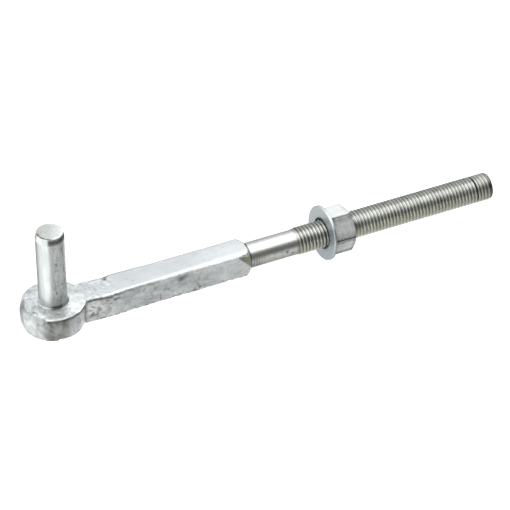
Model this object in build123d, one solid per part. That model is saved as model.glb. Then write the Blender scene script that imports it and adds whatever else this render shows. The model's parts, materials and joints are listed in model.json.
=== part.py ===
from build123d import *
from math import atan2, cos, degrees, hypot, radians, tan
import os

os.makedirs("parts", exist_ok=True)

# A bolt-through gate hook. Millimetres, +Z up along the hinge pin, +X along the bolt.
# Origin: the pin's axis where it leaves the flat top of the eye.

# Hinge pin, a round bar passed up through the eye and closed over underneath
pin_d = 19.0
pin_above = 56.2
pin_chamfer_h = 5.0
pin_chamfer_in = 0.9
collar_h = 1.0
collar_w = 0.7
head_depth = 2.4
head_w = 2.0
head_dome = 0.5

# Eye, the forged boss around the pin
eye_wall = 12.3
eye_thick = 18.2
eye_barrel = 0.9
eye_off_y = 0.75
eye_top_edge = 0.8
eye_bottom_edge = 1.4
soft_rim_in = 5.5
soft_rim_down = 9.0
soft_rim_from = 150.0
soft_rim_to = 235.0
flash_to = 333.0
flash_out = 0.5
flash_up = 0.2

# Square bar, with the neck that runs level out of the eye and dips before the bar
bar_side = 19.0
bar_edge = 1.1
bar_drop = 0.7
neck_drop = 1.35
neck_rise = 1.1
neck_end_x = 40.0
shoulder_x = 138.3
cone_over = 0.5
cone_run = 3.6
facet_len = 9.4
facet_deep = 1.3

# Bolt, a turned shank and a rolled 3/4 inch thread of ten turns to the inch
thread_d = 19.05
pitch = 2.54
shank_len = 34.9
thread_len = 150.6
run_in = 3.0
end_chamfer = 1.4
root_r = 0.7

# Washer and nut as they stand in the photograph. The loose washer leans against the nut, its
# top by washer_lean and its near side by washer_swing, in degrees
washer_x = 195.3
washer_d = 38.1
washer_t = 1.9
washer_lean = 4.0
washer_swing = 2.0
washer_clear = 0.975
washer_rod_gap = 0.35
washer_edge = 0.4
nut_face_gap = 0.05
nut_af = 28.6
nut_t = 16.4
nut_roll = -9.4
nut_face_share = 0.95
nut_clear = 0.05
nut_mouth = 0.8

# Worked out from the values above
pin_r = pin_d / 2
eye_r = pin_r + eye_wall
eye_rim_r = eye_r - eye_barrel
bar_half = bar_side / 2
bar_z = -(bar_drop + bar_half)
cone_r = bar_half + cone_over
thread_r = thread_d / 2
shank_r = thread_r - 0.3 * pitch
thread_x = shoulder_x + shank_len
rod_end_x = thread_x + thread_len
washer_hole_r = thread_r + washer_clear
washer_tilt = radians(hypot(washer_lean, washer_swing))
washer_lift = washer_hole_r * cos(washer_tilt) - thread_r - washer_rod_gap
nut_face_r = nut_af / 2 * nut_face_share
nut_x = washer_x + washer_t / cos(washer_tilt) + nut_face_r * tan(washer_tilt) + nut_face_gap
nut_bore_r = thread_r + nut_clear


def round_corner(start, corner, end):
    """Quarter round from start to end, where corner is the sharp corner it replaces."""
    k = 0.7071
    cx = start[0] + end[0] - corner[0]
    cy = start[1] + end[1] - corner[1]
    mid = (cx + k * (corner[0] - cx), cy + k * (corner[1] - cy))
    return ThreePointArc(start, mid, end)


def turned(points, axis):
    """Solid of revolution from a closed outline drawn in the XZ plane."""
    with BuildSketch(Plane.XZ) as sk:
        with BuildLine():
            Polyline(*points, close=True)
        make_face()
    return revolve(sk.sketch, axis=axis)


def eye_boss():
    """Barrel-walled disc, rounded where it was hammered and sharp along the flash."""
    top, bot = eye_top_edge, eye_bottom_edge
    with BuildSketch(Plane.XZ) as sk:
        with BuildLine():
            Line((0, 0), (eye_rim_r - top, 0))
            round_corner((eye_rim_r - top, 0), (eye_rim_r, 0), (eye_rim_r, -top))
            wall = ((eye_rim_r, -top), (eye_r, -eye_thick / 2), (eye_rim_r, bot - eye_thick))
            ThreePointArc(*wall)
            round_corner(wall[2], (eye_rim_r, -eye_thick), (eye_rim_r - bot, -eye_thick))
            Line((eye_rim_r - bot, -eye_thick), (0, -eye_thick))
            Line((0, -eye_thick), (0, 0))
        make_face()
    boss = revolve(sk.sketch, axis=Axis.Z)
    return Pos(0, eye_off_y, 0) * (boss - soft_rim() + flash_lip())


def sector(sketch, start, end):
    """Turn a sketch about the eye's axis from one bearing to another, in degrees from +X."""
    arc = revolve(sketch, axis=Axis.Z, revolution_arc=end - start)
    # a revolve may run either way round, so the piece is turned by where it landed
    middle = arc.center()
    return Rot(0, 0, (start + end) / 2 - degrees(atan2(middle.Y, middle.X))) * arc


def soft_rim():
    """What the hammer took off the top rim on the side away from the bar."""
    inner, out, low = eye_r - soft_rim_in, eye_r + 2, -soft_rim_down
    mid = (inner + 0.7071 * soft_rim_in, -0.2929 * soft_rim_down)
    with BuildSketch(Plane.XZ) as sk:
        with BuildLine():
            ThreePointArc((inner, 0), mid, (eye_r, low))
            Polyline((eye_r, low), (out, low), (out, 1), (inner, 1), (inner, 0))
        make_face()
    return sector(sk.sketch, soft_rim_from, soft_rim_to)


def flash_lip():
    """Thin fin squeezed out between the dies, left standing on the near side of the rim."""
    r, e = eye_rim_r, eye_top_edge
    points = [
        (r - 3 * e, -2 * e),
        (r - 2 * e, 0),
        (r, flash_up),
        (r + flash_out, flash_up * 0.5),
        (r + flash_out, -flash_up * 2),
        (r, -2 * e),
    ]
    with BuildSketch(Plane.XZ) as sk:
        with BuildLine():
            Polyline(*points, close=True)
        make_face()
    return sector(sk.sketch, soft_rim_to, flash_to)


def bar_section(x, width, z_top, z_bottom, edge):
    """One rounded cross-section of the arm, square to X."""
    mid = Plane(origin=(x, 0, (z_top + z_bottom) / 2), x_dir=(0, 1, 0), z_dir=(1, 0, 0))
    return mid * RectangleRounded(width, z_top - z_bottom, edge)


def neck():
    """Level out of the eye, then dipping a little below the top of the bar."""
    floor = bar_z - bar_half
    width = bar_side - 0.4
    sections = [
        bar_section(pin_r + 2.5, width - 0.2, -0.06, floor + neck_rise + 0.3, bar_edge),
        bar_section(eye_r + 1, width, -0.1, floor + neck_rise * 0.7, bar_edge),
        bar_section(eye_r + 9, width + 0.2, -neck_drop * 0.8, floor + neck_rise * 0.25, bar_edge),
        bar_section(neck_end_x, width + 0.3, -neck_drop, floor + 0.1, bar_edge),
    ]
    return loft(sections, ruled=True)


def bar():
    """Square bar whose end corners are turned down to a cone at the shoulder."""
    start = bar_section(neck_end_x - 0.5, bar_side, -bar_drop, bar_z - bar_half, bar_edge)
    length = shoulder_x - neck_end_x + 0.5
    square = extrude(start, amount=length)
    slope = (bar_half * 1.4142 - cone_r) / cone_run
    far = shoulder_x - (bar_side - cone_r) / slope
    cone = [(0, 0), (0, bar_side), (far, bar_side), (shoulder_x, cone_r), (shoulder_x, 0)]
    envelope = turned(cone, Axis.X)
    return (square & (Pos(0, 0, bar_z) * envelope)) - end_facet()


def end_facet():
    """Sliver ground off the near upper edge where the bar meets the shoulder."""
    top = -bar_drop
    near = -bar_half
    a = Vector(shoulder_x - facet_len, near, top)
    b = Vector(shoulder_x, near, bar_z)
    c = Vector(shoulder_x, near + facet_deep, top)
    plane = Plane(origin=a, x_dir=(b - a), z_dir=(b - a).cross(c - a))
    side = bar_side * 3
    block = plane * Box(side, side, side, align=(Align.CENTER, Align.CENTER, Align.MIN))
    inside = Vector(shoulder_x - facet_len, 0, bar_z)
    if plane.to_local_coords(inside).Z > 0:
        block = plane * Box(side, side, side, align=(Align.CENTER, Align.CENTER, Align.MAX))
    return block


def rod():
    """Turned shank, then the thread drawn as its outside diameter, with a chamfered end."""
    start = shoulder_x - 4
    with BuildSketch(Plane.XZ) as sk:
        with BuildLine():
            Line((start, 0), (start, shank_r + root_r))
            Line((start, shank_r + root_r), (shoulder_x, shank_r + root_r))
            foot = (shoulder_x, shank_r + root_r)
            # concave root fillet between the shoulder face and the shank
            ThreePointArc(
                foot,
                (shoulder_x + root_r * 0.2929, shank_r + root_r * 0.2929),
                (shoulder_x + root_r, shank_r),
            )
            Polyline(
                (shoulder_x + root_r, shank_r),
                (thread_x, shank_r),
                (thread_x + run_in, thread_r),
                (rod_end_x - end_chamfer, thread_r),
                (rod_end_x, thread_r - end_chamfer),
                (rod_end_x, 0),
                (start, 0),
            )
        make_face()
    return Pos(0, 0, bar_z) * revolve(sk.sketch, axis=Axis.X)


def pin_outline():
    """Half outline of the pin: closed-over foot, body, base collar and chamfered top."""
    foot = -eye_thick
    return [
        (0, foot - head_dome),
        (pin_r * 0.6, foot - head_dome),
        (pin_r + head_w, foot),
        (pin_r, foot + head_depth),
        (pin_r, 0),
        (pin_r + collar_w, 0),
        (pin_r + collar_w * 0.35, collar_h * 0.45),
        (pin_r, collar_h),
        (pin_r, pin_above - pin_chamfer_h),
        (pin_r - pin_chamfer_in, pin_above),
        (0, pin_above),
    ]


def pin_hole():
    """Punched hole, countersunk underneath for the pin's closed-over foot."""
    foot = -eye_thick
    points = [
        (0, foot),
        (pin_r + head_w, foot),
        (pin_r, foot + head_depth),
        (pin_r, 1),
        (0, 1),
    ]
    below = turned([(0, foot - 5), (pin_r + head_w, foot - 5), (pin_r + head_w, foot), (0, foot)], Axis.Z)
    return turned(points, Axis.Z) + below


def hook_arm():
    return eye_boss() + neck() + bar() + rod() - pin_hole()


def hinge_pin():
    return turned(pin_outline(), Axis.Z)


def washer():
    """Punched washer: one rim edge eased by the die, the other left square."""
    r, e, t = washer_d / 2, washer_edge, washer_t
    points = [(0, r - e), (e, r), (t, r), (t, washer_hole_r), (0, washer_hole_r)]
    place = Pos(washer_x, 0, bar_z + washer_lift) * Rot(0, 0, washer_swing) * Rot(0, washer_lean, 0)
    return place * turned(points, Axis.X)


def hex_nut():
    """Hexagon chamfered on both faces, with a countersunk bore."""
    corner_r = nut_af / 3**0.5
    flat_r = nut_af / 2
    face_r = nut_face_r
    back = (corner_r + 1 - face_r) * 0.5774
    prism = extrude(Plane.YZ * RegularPolygon(flat_r, 6, major_radius=False), amount=nut_t)
    prism = Rot(nut_roll, 0, 0) * prism
    outer = corner_r + 1
    shape = [(0, 0), (0, face_r), (back, outer), (nut_t - back, outer), (nut_t, face_r), (nut_t, 0)]
    blank = prism & turned(shape, Axis.X)
    m = nut_mouth
    hole = [(-1, 0), (-1, nut_bore_r + m), (0, nut_bore_r + m), (m, nut_bore_r)]
    hole += [(nut_t - m, nut_bore_r), (nut_t, nut_bore_r + m), (nut_t + 1, nut_bore_r + m), (nut_t + 1, 0)]
    return Pos(nut_x, 0, bar_z) * (blank - turned(hole, Axis.X))


pieces = {
    "hook_arm": hook_arm(),
    "hinge_pin": hinge_pin(),
    "washer": washer(),
    "hex_nut": hex_nut(),
}

for name, shape in pieces.items():
    solids = shape.solids()
    box = shape.bounding_box()
    print(name, len(solids), "solid", [round(v, 2) for v in (*box.min, *box.max)])
    export_step(shape, f"parts/{name}.step")
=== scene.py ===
import json
from math import atan2, ceil, cos, degrees, exp, floor, hypot, log, pi, radians, sin, sqrt, tan

import bmesh
import bpy
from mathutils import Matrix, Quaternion, Vector, noise

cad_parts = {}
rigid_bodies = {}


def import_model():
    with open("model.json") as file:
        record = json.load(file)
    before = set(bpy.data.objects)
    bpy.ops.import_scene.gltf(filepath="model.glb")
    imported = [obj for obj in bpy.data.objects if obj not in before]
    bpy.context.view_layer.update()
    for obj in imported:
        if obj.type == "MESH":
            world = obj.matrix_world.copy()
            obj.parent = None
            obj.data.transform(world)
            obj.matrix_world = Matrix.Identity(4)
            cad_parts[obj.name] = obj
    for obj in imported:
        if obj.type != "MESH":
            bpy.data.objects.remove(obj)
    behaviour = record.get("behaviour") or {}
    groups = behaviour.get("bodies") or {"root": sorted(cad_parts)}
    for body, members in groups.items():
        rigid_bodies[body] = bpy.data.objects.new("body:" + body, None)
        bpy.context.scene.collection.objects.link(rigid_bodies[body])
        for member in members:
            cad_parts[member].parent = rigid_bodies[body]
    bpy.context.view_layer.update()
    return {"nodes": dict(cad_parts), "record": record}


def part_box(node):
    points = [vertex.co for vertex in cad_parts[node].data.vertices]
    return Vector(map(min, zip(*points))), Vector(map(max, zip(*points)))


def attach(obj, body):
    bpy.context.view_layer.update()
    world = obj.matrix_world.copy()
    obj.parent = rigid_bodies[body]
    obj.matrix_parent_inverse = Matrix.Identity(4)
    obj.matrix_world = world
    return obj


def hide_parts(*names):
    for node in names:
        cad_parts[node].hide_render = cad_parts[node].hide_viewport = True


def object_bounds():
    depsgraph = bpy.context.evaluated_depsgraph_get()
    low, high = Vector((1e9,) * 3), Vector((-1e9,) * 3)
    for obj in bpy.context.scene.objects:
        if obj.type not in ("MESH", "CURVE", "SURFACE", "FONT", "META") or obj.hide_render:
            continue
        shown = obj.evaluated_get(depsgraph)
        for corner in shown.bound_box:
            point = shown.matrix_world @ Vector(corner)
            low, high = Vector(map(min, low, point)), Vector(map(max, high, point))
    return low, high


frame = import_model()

# Shapes are worked out in millimetres and become metres when a mesh is made
MM = 0.001
mounts = {m["name"]: m for m in frame["record"]["mounts"]}
coupling = frame["record"]["behaviour"]["couplings"][0]


def box_mm(node):
    """Lowest and highest corner of a CAD node."""
    low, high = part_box(node)
    return [v / MM for v in low], [v / MM for v in high]


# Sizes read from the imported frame
arm_low, arm_high = box_mm("hook_arm")
pin_low, pin_high = box_mm("hinge_pin")
washer_low, washer_high = box_mm("washer")
nut_low, nut_high = box_mm("hex_nut")
pin_r = mounts["hinge_pin"]["dims"]["r_mm"]
bolt_z = mounts["through_bolt"]["pos_m"][2] / MM
thread_r = mounts["through_bolt"]["dims"]["r_mm"]
full_thread = mounts["through_bolt"]["dims"]["length_mm"]
thread_mid_x = mounts["through_bolt"]["pos_m"][0] / MM
shoulder_x = mounts["bar_shoulder"]["pos_m"][0] / MM
pitch = coupling["ratio"] * 2 * pi / MM
rod_end_x = arm_high[0]

# Sizes that follow part.py
bar_half = 9.5
bar_top = bolt_z + bar_half
bar_low = bolt_z - bar_half
front = -bar_half
facet_len = 9.4
eye_off_y = 0.75
eye_r = pin_r + 12.3
eye_rim_r = eye_r - 0.9
eye_thick = 18.2
neck_end_x = 40.0
soft_rim_to = 235.0
flash_to = 333.0
run_in = 3.0
thread_x = thread_mid_x - full_thread / 2 - run_in
end_chamfer = rod_end_x - thread_mid_x - full_thread / 2
shank_r = thread_r - 0.3 * pitch
root_r = 0.7
nut_af = 28.6
nut_roll = -9.4
nut_face_r = nut_af / 2 * 0.95
nut_mouth_r = thread_r + 0.85
nut_slope = tan(radians(30))
washer_r = 19.05
washer_t = 1.9
washer_lean = 4.0
washer_swing = 2.0
washer_hole_r = thread_r + 0.975

# Along X, what belongs to the eye ends at the first place and the neck's begins at the second
eye_to_x = 19.0
neck_x = 17.0

# The thread from crest to root: shares of the pitch, and of the depth
thread_profile = [(0.0, 0.0), (0.10, 0.0), (0.16, 0.09), (0.34, 0.89), (0.42, 1.0), (0.5, 1.0)]
thread_deep = 0.27 * pitch

# The thread's phase, set by the dark torn turn: where its root lies on the near side
torn_x = 311.55
near_turn = 139 / 360
helix_x = torn_x - pitch * (0.5 + near_turn)

# Camera fitted to the photograph: millimetres, degrees and a full frame of 36 mm
view_target = (145.42, 0.0, -11.66)
view_distance = 1783.0
view_azimuth = -25.66
view_elevation = 38.19
view_roll = 0.23
view_lens = 187.54


def clamp(v, low, high):
    """The value, kept from low to high."""
    return max(low, min(high, v))


def smooth(a, b, v):
    """0 at a and before it, 1 at b and after it, with a soft run between."""
    t = clamp((v - a) / (b - a), 0.0, 1.0)
    return t * t * (3 - 2 * t)


def between(a, b, v, soft):
    """1 from a to b, falling softly to 0 outside them."""
    return smooth(a - soft, a + soft, v) * (1 - smooth(b - soft, b + soft, v))


def bump(v, middle, half):
    """1 at middle, falling softly to 0 at half away on either side."""
    return 1 - smooth(0, half, abs(v - middle))


def wavy(p, size, seed=0.0):
    """Smooth noise from -1 to 1 whose lumps are about size millimetres."""
    return noise.noise(Vector((p[0] / size + seed, p[1] / size - seed, p[2] / size + 2 * seed)))


def round_wavy(turn, z, size, seed):
    """Smooth noise over a round surface, from a bearing in degrees and a height."""
    a = radians(turn)
    return wavy((10 * cos(a), 10 * sin(a), z), size, seed)


def spot(a, a_middle, a_half, b, b_middle, b_half):
    """1 in the middle of an oval patch, falling softly to 0 outside it."""
    return exp(-(((a - a_middle) / a_half) ** 2) - ((b - b_middle) / b_half) ** 2)


def on_bolt(x, r, t):
    """The point at x along the bolt, r from its axis, at angle t from +Y towards +Z."""
    return x, r * cos(t), bolt_z + r * sin(t)


def bolt_place(p):
    """Bearing round the bolt in degrees from +Y towards +Z, and distance from its axis."""
    return degrees(atan2(p[2] - bolt_z, p[1])) % 360, hypot(p[1], p[2] - bolt_z)


def add_object(name, data):
    """New object in the scene."""
    obj = bpy.data.objects.new(name, data)
    bpy.context.scene.collection.objects.link(obj)
    return obj


def make_object(name, points, faces, body, slot, *nodes):
    """Mesh from millimetre points, welded and closed, riding on a body in place of CAD nodes."""
    mesh = bpy.data.meshes.new(name)
    mesh.from_pydata([tuple(v * MM for v in p) for p in points], [], faces)
    obj = add_object(name, mesh)
    bm = bmesh.new()
    bm.from_mesh(mesh)
    bmesh.ops.remove_doubles(bm, verts=bm.verts, dist=0.0005 * MM)
    bmesh.ops.dissolve_degenerate(bm, edges=bm.edges, dist=0.0005 * MM)
    bmesh.ops.recalc_face_normals(bm, faces=bm.faces)
    bm.to_mesh(mesh)
    bm.free()
    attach(obj, body)
    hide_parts(*nodes)
    return obj


def smooth_shade(obj, sharp_deg=None):
    """Smooth shading, with edges sharper than sharp_deg left crisp."""
    mesh = obj.data
    mesh.polygons.foreach_set("use_smooth", [True] * len(mesh.polygons))
    if sharp_deg is not None:
        bm = bmesh.new()
        bm.from_mesh(mesh)
        for edge in bm.edges:
            edge.smooth = edge.calc_face_angle(0) < radians(sharp_deg)
        bm.to_mesh(mesh)
        bm.free()


def nowhere(p):
    """Nothing painted."""
    return 0.0


def paint(obj, dirt_and_shade, wear_and_highlight, tarnish=nowhere, even=nowhere):
    """Store numbers from 0 to 1 at each vertex, which the materials read by name: stain with painted
    shade, rubbed zinc with painted highlights, tarnish and an even tone.
    """
    places = [v.co / MM for v in obj.data.vertices]
    tones = {"dirt_and_shade": dirt_and_shade, "tarnish": tarnish, "wear_and_highlight": wear_and_highlight, "even": even}
    for name, tone in tones.items():
        layer = obj.data.attributes.new(name, "FLOAT", "POINT")
        layer.data.foreach_set("value", [clamp(tone(p), 0.0, 1.0) for p in places])


def ring_faces(first, second, n):
    """Quads between two rings of n vertices whose numbers start at first and second."""
    return [(first + k, first + (k + 1) % n, second + (k + 1) % n, second + k) for k in range(n)]


def turned(places, n, closed=False):
    """Skin through rings of n points, where each place gives a ring's point at an angle."""
    points = [place(2 * pi * k / n) for place in places for k in range(n)]
    faces = []
    for s in range(len(places) if closed else len(places) - 1):
        faces += ring_faces(s * n, (s + 1) % len(places) * n, n)
    return points, faces


def add_cap(points, faces, first, tip, n):
    """Close the ring that starts at first with triangles that meet at a tip."""
    points.append(tip)
    faces += [(first + k, first + (k + 1) % n, len(points) - 1) for k in range(n)]


def joined(*skins):
    """One list of points and one of faces from several skins."""
    points, faces = [], []
    for more, spans in skins:
        offset = len(points)
        points += more
        faces += [tuple(v + offset for v in f) for f in spans]
    return points, faces


def helix_grid(x_from, x_to, radius, n):
    """Helical surface about the bolt's axis, cut square at both ends.

    The columns follow the thread, so its crest and root are crisp. radius(x, u, t) gives the
    radius at a place x, a share u of the pitch and an angle t.
    """
    half = [u for u, _ in thread_profile]
    shares = half + [1 - u for u in reversed(half[1:-1])]
    per = len(shares)
    first = floor((x_from - helix_x) / pitch) - 1
    last = ceil((x_to - helix_x) / pitch) + 1
    steps = (last - first) * n
    points = []
    for i in range(steps + 1):
        t = 2 * pi * (i % n) / n
        base = helix_x + pitch * (first + i / n)
        for u in shares:
            x = clamp(base + u * pitch, x_from, x_to)
            points.append(on_bolt(x, radius(x, u, t), t))
    faces = []
    for i in range(steps - n):
        for j in range(per):
            a, b = i * per + j, (i + 1) * per + j
            if j + 1 < per:
                faces.append((a, b, b + 1, a + 1))
            else:
                # the last column meets the first one, a turn further on
                faces.append((a, b, (i + 1 + n) * per, (i + n) * per))
    return points, faces


def thread_depth(u):
    """How far below the crest the thread's surface lies at a share u of the pitch."""
    u = abs((u + 0.5) % 1 - 0.5)
    for (a, high), (b, low) in zip(thread_profile, thread_profile[1:]):
        if u < b:
            return thread_deep * (high + (low - high) * (u - a) / (b - a))
    return thread_deep


# The forged arm with its turned and threaded end

# Marks on the near face: X and Z of one end, of the other, half width, depth and darkness
near_marks = [
    (72.1, -14.0, 72.3, -19.4, 0.50, 0.40, 0.75),
    (74.8, -10.1, 78.6, -10.9, 0.75, 0.12, 0.40),
    (86.0, -5.6, 91.0, -3.4, 1.30, 0.20, 0.40),
    (96.9, -17.2, 95.2, -19.2, 0.90, 0.30, 0.65),
    (99.0, -12.8, 100.6, -16.4, 0.80, 0.25, 0.55),
    (100.6, -16.4, 104.4, -16.0, 0.60, 0.20, 0.45),
    (28.8, -11.0, 26.8, -15.0, 1.50, 0.35, 0.75),
    (17.2, -9.0, 22.4, -10.0, 0.60, 0.35, 1.20),
    (22.6, -6.4, 25.4, -8.4, 0.70, 0.20, 0.70),
    (24.0, -12.6, 22.0, -15.4, 0.80, 0.20, 0.65),
    (63.4, -17.6, 64.2, -19.2, 0.80, 0.20, 0.45),
    (117.0, -17.2, 118.6, -19.2, 0.80, 0.20, 0.40),
    (33.0, -9.6, 35.6, -11.2, 0.80, 0.15, 0.35),
]

# All marks: from, to, half width and depth in millimetres, and darkness
marks = [((a, front, b), (c, front, d), *rest) for a, b, c, d, *rest in near_marks]
marks += [
    ((55.2, -2.3, bar_top), (56.6, -2.6, bar_top), 0.80, 0.20, 0.35),
    ((51.0, 1.5, bar_top), (52.6, 0.8, bar_top), 0.70, 0.12, 0.20),
    ((39.0, 8.0, -1.0), (41.0, 3.5, -1.2), 0.90, 0.25, 0.28),
    ((41.0, 3.5, -1.2), (41.5, -2.5, -1.2), 0.90, 0.18, 0.14),
    ((38.8, 7.2, -1.2), (40.8, 9.6, -1.2), 1.10, 0.80, 1.30),
    ((-16.6, -4.6, -0.5), (-14.2, -8.6, -0.3), 0.75, 0.45, 0.80),
    ((-18.4, -6.8, -1.4), (-17.4, -10.6, -1.6), 0.70, 0.30, 0.50),
    ((-16.4, -8.8, -0.8), (-15.6, -11.0, -1.0), 0.60, 0.22, 0.40),
    ((-20.5, 1.0, -2.0), (-20.8, -3.4, -2.2), 0.70, 0.20, 0.30),
]


def line_share(p, mark):
    """1 on a mark's line, falling softly to 0 beside it."""
    a, b, width = mark[:3]
    if abs(p[0] - a[0]) > abs(b[0] - a[0]) + 3 * width:
        return 0.0
    along = [b[k] - a[k] for k in range(3)]
    length = sum(v * v for v in along)
    t = clamp(sum((p[k] - a[k]) * along[k] for k in range(3)) / length, 0, 1)
    d = sum((p[k] - a[k] - t * along[k]) ** 2 for k in range(3)) / width**2
    if d > 6:
        return 0.0
    ragged = exp(-d * (1.0 + 0.6 * wavy(p, 1.5, 4.9)))
    return ragged * clamp(0.75 + 0.9 * wavy(p, 1.9, 7.4), 0.15, 1.0)


def bearing(p):
    """Bearing round the eye in degrees from +X, and the distance from the eye's axis."""
    return degrees(atan2(p[1] - eye_off_y, p[0])) % 360, hypot(p[0], p[1] - eye_off_y)


def neck_top_z(x):
    """Height of the neck's top, level with the eye and then dipping."""
    dip = smooth(eye_r + 1, neck_end_x - 1, x)
    return -0.1 - 1.25 * dip + 0.65 * smooth(neck_end_x - 1.2, neck_end_x, x)


def fin_share(p):
    """1 on the near rim where the flash stands out, round the eye and on along the neck."""
    turn, out = bearing(p)
    if p[0] < eye_to_x and soft_rim_to < turn < flash_to and out > eye_rim_r - 2:
        ends = smooth(soft_rim_to, soft_rim_to + 3, turn)
        return ends * smooth(-1.5, -0.7, p[2]) * smooth(eye_rim_r - 1.2, eye_rim_r - 0.2, out)
    if neck_x < p[0] < 52.0 and p[1] < front + 1.6:
        high = smooth(-1.6, -0.7, p[2] - neck_top_z(p[0]))
        return high * smooth(front + 1.4, front + 0.4, p[1]) * (1 - smooth(42, 52, p[0]))
    return 0.0


def crease_share(p):
    """1 in the fold under the flash, from the near side of the eye to the bar; the fold is hollowed and
    given painted shadow.
    """
    turn, out = bearing(p)
    wander = 0.50 * wavy(p, 6.0, 3.1) + 0.20 * wavy(p, 1.8, 9.7)
    if p[0] < eye_to_x and soft_rim_to < turn < flash_to + 3 and out > eye_rim_r - 2.5:
        deep = 0.55 + 0.45 * smooth(285, 312, turn) + 0.25 * wavy(p, 3.0, 2.2)
        return deep * bump(p[2], -2.0 + wander, 1.0) * smooth(soft_rim_to, soft_rim_to + 5, turn)
    if neck_x < p[0] < 74.0 and p[1] < front + 1.6:
        low = neck_top_z(p[0]) - 1.8 + wander
        fade = 1 - 0.65 * smooth(38, 48, p[0]) - 0.35 * smooth(56, 72, p[0])
        ragged = clamp(0.85 + 0.8 * wavy(p, 4.0, 6.3), 0.3, 1.0)
        return fade * ragged * bump(p[2], low, 0.95)
    return 0.0


def crown_drop(p):
    """How far the top falls towards its near edge, in millimetres."""
    turn, out = bearing(p)
    if p[0] > neck_x:
        width = 2.6 + 3.4 * smooth(46, 122, p[0])
        return 0.40 * clamp((front + width - p[1]) / width, 0, 1) ** 2
    right = between(285, 372, turn, 14)
    width = 2.3 + 5.9 * right
    return (0.30 + 0.22 * right) * clamp((out - eye_rim_r + width) / width, 0, 1) ** 2


def rolled_edge(p):
    """1 along the bar's near upper edge, which is rolled over, falling to 0 lower down."""
    if p[1] > front + 1.6 or p[0] >= shoulder_x - 0.6:
        return 0.0
    return smooth(-2.0, -0.3, p[2]) * smooth(44, 60, p[0]) * (1 - facet_share(p))


def corner_share(p):
    """1 in the inside corner of neck and eye, most of all near the top."""
    corner_x = sqrt(eye_r**2 - (bar_half + eye_off_y) ** 2)
    near = hypot(p[0] - corner_x + 0.3, p[1] + bar_half + 0.3)
    low = 0.30 + 0.25 * clamp(0.5 + 1.5 * wavy(p, 2.0, 3.9), 0, 1)
    deep = low + (1 - low) * smooth(-11.0, -6.5, p[2])
    ends = smooth(-18.5, -16.5, p[2]) * (1 - smooth(-2.2, -1.0, p[2]))
    return deep * exp(-((near / 1.5) ** 2)) * ends


def hammered_height(p, n):
    """Height of the rolling hammered skin over the clean form, in millimetres."""
    rough_end = 1 - smooth(34, 46, p[0])
    quiet = 1 - 0.8 * smooth(122, 134, p[0])
    upward = smooth(0.6, 0.9, n.z)
    bar_top_only = upward * (1 - rough_end)
    swell = wavy(p, 13.0, 0.7) * (0.14 + 0.26 * rough_end)
    lump = wavy(p, 5.0, 1.9) * (0.07 + 0.16 * rough_end) * (1 - 0.6 * bar_top_only)
    fine = wavy(p, 2.2, 3.7) * (0.055 + 0.10 * rough_end) * (1 - 0.8 * bar_top_only)
    pit = max(0.0, wavy(p, 2.4, 5.3) - 0.25) * (0.28 + 0.25 * rough_end) * (1 - 0.7 * upward)
    return (swell + lump + fine - pit) * quiet


def forged_shift(p, n):
    """Where a point of the clean form goes on the forged one, in millimetres."""
    turn, out = bearing(p)
    height = hammered_height(p, n)
    height -= 0.70 * crease_share(p) + 0.8 * corner_share(p)
    height -= sum(line_share(p, m) * m[3] for m in marks)
    # zinc hangs in small lumps and gaps along the lower near edge
    edge = bump(hypot(p[1] + bar_half, p[2] - bar_low), 0, 2.2) * smooth(20, 26, p[0])
    height += edge * (0.45 * wavy(p, 3.0, 8.8) + 0.25 * wavy(p, 1.6, 1.8) - 0.12)
    shift = n * height + bulges(p)
    if n.z > 0.2 and p[2] > -2.5 and p[0] < shoulder_x - 0.5:
        shift.z -= crown_drop(p)
    side = Vector((0, -1, 0)) if p[0] > eye_to_x else Vector((p[0], p[1] - eye_off_y, 0)).normalized()
    shift += side * 0.35 * fin_share(p) * (1 + 0.5 * wavy(p, 4.0, 6.6))
    if n.y < -0.4:
        shift.y += 0.40 * rolled_edge(p)
    if p[2] < -15.5 and out > 18:
        # a small lip of metal hangs from the eye's lower near rim
        lip = between(233, 258, turn, 2.0) * smooth(-16.0, -17.6, p[2])
        shift += Vector((0, 0, -0.5)) * lip * smooth(18.5, 20, out) + side * 0.25 * lip
    return shift


def bulges(p):
    """The neck and the bar's start bulge at the back edge and underneath, and a drip hangs."""
    back = smooth(19, 24, p[0]) * (1 - smooth(48, 78, p[0])) * smooth(5.0, 8.5, p[1])
    under = smooth(16, 20, p[0]) * (1 - smooth(34, 60, p[0])) * smooth(-15.0, -17.5, p[2])
    # the drip is at the bar's lower end corner
    away = (p - Vector((137.2, front + 0.6, bar_low + 0.8))).length
    drip = Vector((0.3, -0.15, -0.45)) * exp(-((away / 1.5) ** 2))
    return Vector((0, 0.75 * back, -1.0 * under)) + drip


def facet_places(p):
    """Shares of the sliver ground off at the shoulder, which gets painted shade, and of the rim above
    it, which gets a painted highlight.
    """
    along = (p[0] - shoulder_x + facet_len) / facet_len
    if along <= 0 or p[1] > front + 2.0:
        return 0.0, 0.0
    along = min(along, 1.0)
    z = p[2] + 0.5 * wavy(p, 2.0, 6.7)
    high = bar_top - 0.8 - 2.0 * along
    low = bar_top - 2.0 - (bar_half + 0.4) * along
    rim = smooth(high - 0.5, high + 0.5, z)
    begun = smooth(0.0, 0.08, along)
    return begun * smooth(low - 0.6, low + 0.6, z) * (1 - rim), begun * rim


def facet_share(p):
    """1 on the ground sliver alone."""
    return facet_places(p)[0]


def drawn(p):
    """The same place squeezed along X, so that noise there runs along the bar."""
    return (0.5 * p[0], p[1], p[2])


def mottle(p, seed):
    """Uneven zinc in three sizes of blotch, from -1 to 1."""
    return 0.4 * wavy(p, 6.5, seed) + 0.45 * wavy(p, 2.6, seed + 1.3) + 0.55 * wavy(p, 1.2, seed + 2.9)


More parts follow.
